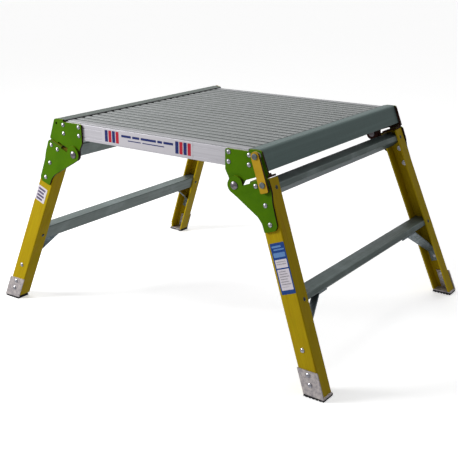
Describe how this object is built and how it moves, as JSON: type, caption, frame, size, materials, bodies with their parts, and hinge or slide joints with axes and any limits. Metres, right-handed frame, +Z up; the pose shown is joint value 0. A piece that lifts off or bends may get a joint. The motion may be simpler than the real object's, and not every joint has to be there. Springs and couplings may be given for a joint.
{
  "type": "folding work platform",
  "caption": "Folding step-up work platform: ribbed metal deck on two fold-under leg frames with treads, side latches and rubber-soled feet.",
  "frame": {"origin": "on the floor under the middle of the deck, at the bottom of the rubber feet", "axes": "+X along the deck ribs, from the left leg frame to the right one; +Y across the deck, from the near side to the far side; +Z up. The legs stand in their opened position."},
  "size_m": [0.9954, 0.7444, 0.5045],
  "materials": {
    "deck": "mill-finish ribbed extrusion, worn",
    "nosing_right": "dark weathered extrusion, smooth",
    "nosing_left": "dark weathered extrusion, smooth",
    "rivet": "bright domed rivets",
    "green_paint": "green paint on steel plate",
    "pin": "dull steel",
    "zinc": "bright zinc plating",
    "latch_steel": "yellow passivated zinc",
    "grp": "pultruded glass-fibre channel, yellow",
    "rung": "mill-finish extrusion, dull",
    "shoe": "worn bare metal",
    "label": "printed vinyl sticker, plain blocks only",
    "rubber": "black moulded tread"
  },
  "bodies": {
    "platform": {"deck_plank_1": "deck", "deck_plank_2": "deck", "deck_plank_3": "deck", "deck_plank_4": "deck", "deck_plank_5": "deck", "deck_plank_6": "deck", "nosing_right": "nosing_right", "nosing_left": "nosing_left", "nosing_rivets": "rivet", "bracket_rivets": "rivet", "bracket_right_near": "green_paint", "hinge_pin_right_near": "pin", "bracket_right_far": "green_paint", "hinge_pin_right_far": "pin", "latch_pin_right": "pin", "latch_spacer_right": "zinc", "bracket_left_near": "green_paint", "hinge_pin_left_near": "pin", "bracket_left_far": "green_paint", "hinge_pin_left_far": "pin", "latch_pin_left": "pin", "latch_spacer_left": "zinc"},
    "leg_right": {"latch_stud_right": "pin", "stile_right_near": "grp", "hinge_plate_right_near": "green_paint", "brace_right_near": "zinc", "shoe_right_near": "shoe", "foot_pad_right_near": "rubber", "stile_right_far": "grp", "hinge_plate_right_far": "green_paint", "brace_right_far": "zinc", "shoe_right_far": "shoe", "foot_pad_right_far": "rubber", "upper_rung_right": "rung", "lower_rung_right": "rung", "leg_rivets_right": "rivet", "ring_washers_right": "zinc"},
    "leg_left": {"latch_stud_left": "pin", "stile_left_near": "grp", "hinge_plate_left_near": "green_paint", "brace_left_near": "zinc", "shoe_left_near": "shoe", "foot_pad_left_near": "rubber", "stile_left_far": "grp", "hinge_plate_left_far": "green_paint", "brace_left_far": "zinc", "shoe_left_far": "shoe", "foot_pad_left_far": "rubber", "upper_rung_left": "rung", "lower_rung_left": "rung", "leg_rivets_left": "rivet", "ring_washers_left": "zinc"},
    "latch_right": {"latch_bar_right": "latch_steel", "latch_catch_right": "latch_steel", "latch_rivet_right": "pin"},
    "latch_left": {"latch_bar_left": "latch_steel", "latch_catch_left": "latch_steel", "latch_rivet_left": "pin"}
  },
  "joints": [
    {"name": "leg_right_fold", "type": "hinge", "parent": "platform", "child": "leg_right", "pos_m": [0.2416, 0, 0.4206], "axis": [0, 1, 0], "range_deg": [0, 105]},
    {"name": "leg_left_fold", "type": "hinge", "parent": "platform", "child": "leg_left", "pos_m": [-0.2416, 0, 0.4206], "axis": [0, -1, 0], "range_deg": [0, 123]},
    {"name": "latch_right_swing", "type": "hinge", "parent": "platform", "child": "latch_right", "pos_m": [0.299, -0.34, 0.4926], "axis": [0, -1, 0], "range_deg": [0, 100]},
    {"name": "latch_left_swing", "type": "hinge", "parent": "platform", "child": "latch_left", "pos_m": [-0.299, 0.34, 0.4926], "axis": [0, 1, 0], "range_deg": [0, 100]}
  ]
}
